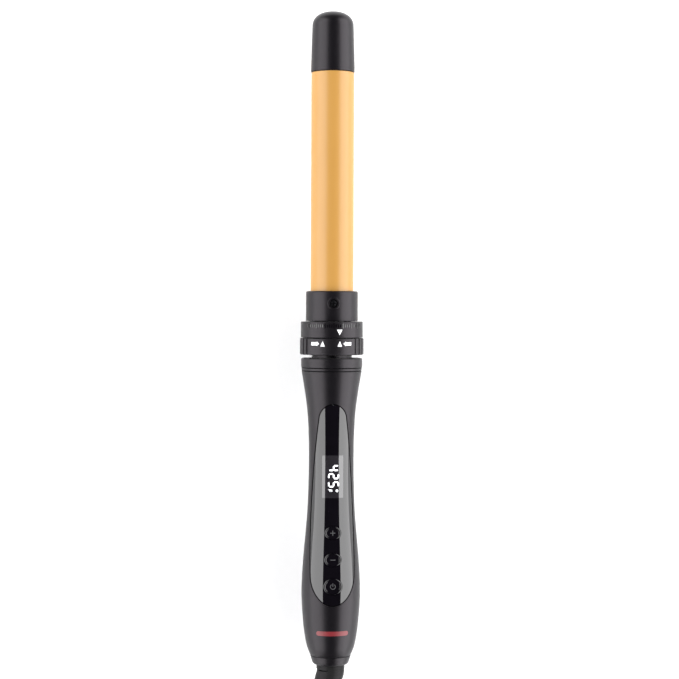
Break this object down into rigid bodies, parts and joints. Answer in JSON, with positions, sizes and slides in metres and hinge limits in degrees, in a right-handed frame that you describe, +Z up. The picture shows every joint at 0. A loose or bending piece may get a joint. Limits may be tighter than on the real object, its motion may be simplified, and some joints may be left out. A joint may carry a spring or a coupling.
{
  "type": "curling wand",
  "caption": "Hair curling wand with a pull-off heated barrel, a bayonet lock ring, a waisted handle with display and buttons, and a swivel mains cord",
  "frame": {"origin": "on the table under the middle of the wand as it lies, without its strain relief, cord and plug", "axes": "+Y along the wand from the cord end to the cool tip, +Z up, out of the control panel, +X to the right of someone who looks down at the panel with the tip ahead"},
  "size_m": [0.0585, 0.6446, 0.0376],
  "materials": {
    "matte_black": "fine matte moulding texture",
    "gloss_black": "high gloss",
    "ceramic_gold": "satin ceramic coating",
    "smoked_window": "smoked clear plastic, high gloss",
    "display_black": "gloss, with lit digits",
    "dark_steel": "blackened",
    "steel": "plain",
    "brass": "plain",
    "aluminium": "as extruded",
    "phenolic": "moulded heat-resistant resin",
    "board_green": "solder mask",
    "white_ceramic": "fired ceramic",
    "cord_black": "semi-gloss moulded sheath",
    "tie_black": "woven hook-and-loop strap"
  },
  "bodies": {
    "cord_set": {"swivel_spindle": "cord_black", "slip_ring_1": "brass", "slip_ring_2": "brass", "strain_relief": "cord_black", "cord": "cord_black", "cord_hank": "cord_black", "cord_tie": "tie_black", "cord_end": "cord_black", "plug_body": "cord_black", "plug_blade_left": "brass", "plug_blade_right": "brass"},
    "handle": {"front_shell": "matte_black", "rear_shell": "matte_black", "trim_ring": "matte_black", "tail_ring": "matte_black", "shell_screw_tail": "dark_steel", "shell_screw_mouth": "dark_steel", "socket_block": "phenolic", "socket_contact_1": "brass", "socket_contact_2": "brass", "socket_contact_3": "brass", "socket_contact_4": "brass", "detent_ball": "steel", "detent_spring": "steel", "control_panel": "gloss_black", "display_window": "smoked_window", "display_module": "display_black", "circuit_board": "board_green", "power_switch": "steel", "minus_switch": "steel", "plus_switch": "steel", "power_module": "phenolic", "capacitor": "aluminium", "swivel_housing": "brass", "brush_1": "brass", "brush_2": "brass", "brush_holder": "phenolic"},
    "lock_ring": {"lock_ring": "matte_black"},
    "barrel": {"cool_tip": "matte_black", "barrel_tube": "ceramic_gold", "barrel_collar": "matte_black", "collar_screw_front": "dark_steel", "collar_screw_back": "dark_steel", "index_ring": "matte_black", "bayonet_plug": "matte_black", "heater_core_front": "aluminium", "heater_core_back": "aluminium", "ceramic_heater": "white_ceramic", "tip_insulator": "phenolic", "thermistor": "white_ceramic", "thermal_fuse": "steel", "contact_pin_1": "brass", "contact_pin_2": "brass", "contact_pin_3": "brass", "contact_pin_4": "brass"},
    "power_button": {"power_button": "gloss_black"},
    "minus_button": {"minus_button": "gloss_black"},
    "plus_button": {"plus_button": "gloss_black"}
  },
  "joints": [
    {"name": "cord_swivel", "type": "hinge", "parent": "cord_set", "child": "handle", "pos_m": [0, -0.19115, 0.01881], "axis": [0, 1, 0], "continuous": true},
    {"name": "lock_ring_turn", "type": "hinge", "parent": "handle", "child": "lock_ring", "pos_m": [0, -0.00375, 0.01881], "axis": [0, 1, 0], "range_deg": [0, 31]},
    {"name": "barrel_pull_off", "type": "slide", "parent": "handle", "child": "barrel", "axis": [0, 1, 0], "range_m": [0, 0.03]},
    {"name": "power_button_press", "type": "slide", "parent": "handle", "child": "power_button", "axis": [0, 0, -1], "range_m": [0, 0.0006], "stiffness_N_per_m": 1500, "springref_m": -0.0003},
    {"name": "minus_button_press", "type": "slide", "parent": "handle", "child": "minus_button", "axis": [0, 0, -1], "range_m": [0, 0.0006], "stiffness_N_per_m": 1500, "springref_m": -0.0003},
    {"name": "plus_button_press", "type": "slide", "parent": "handle", "child": "plus_button", "axis": [0, 0, -1], "range_m": [0, 0.0006], "stiffness_N_per_m": 1500, "springref_m": -0.0003}
  ]
}
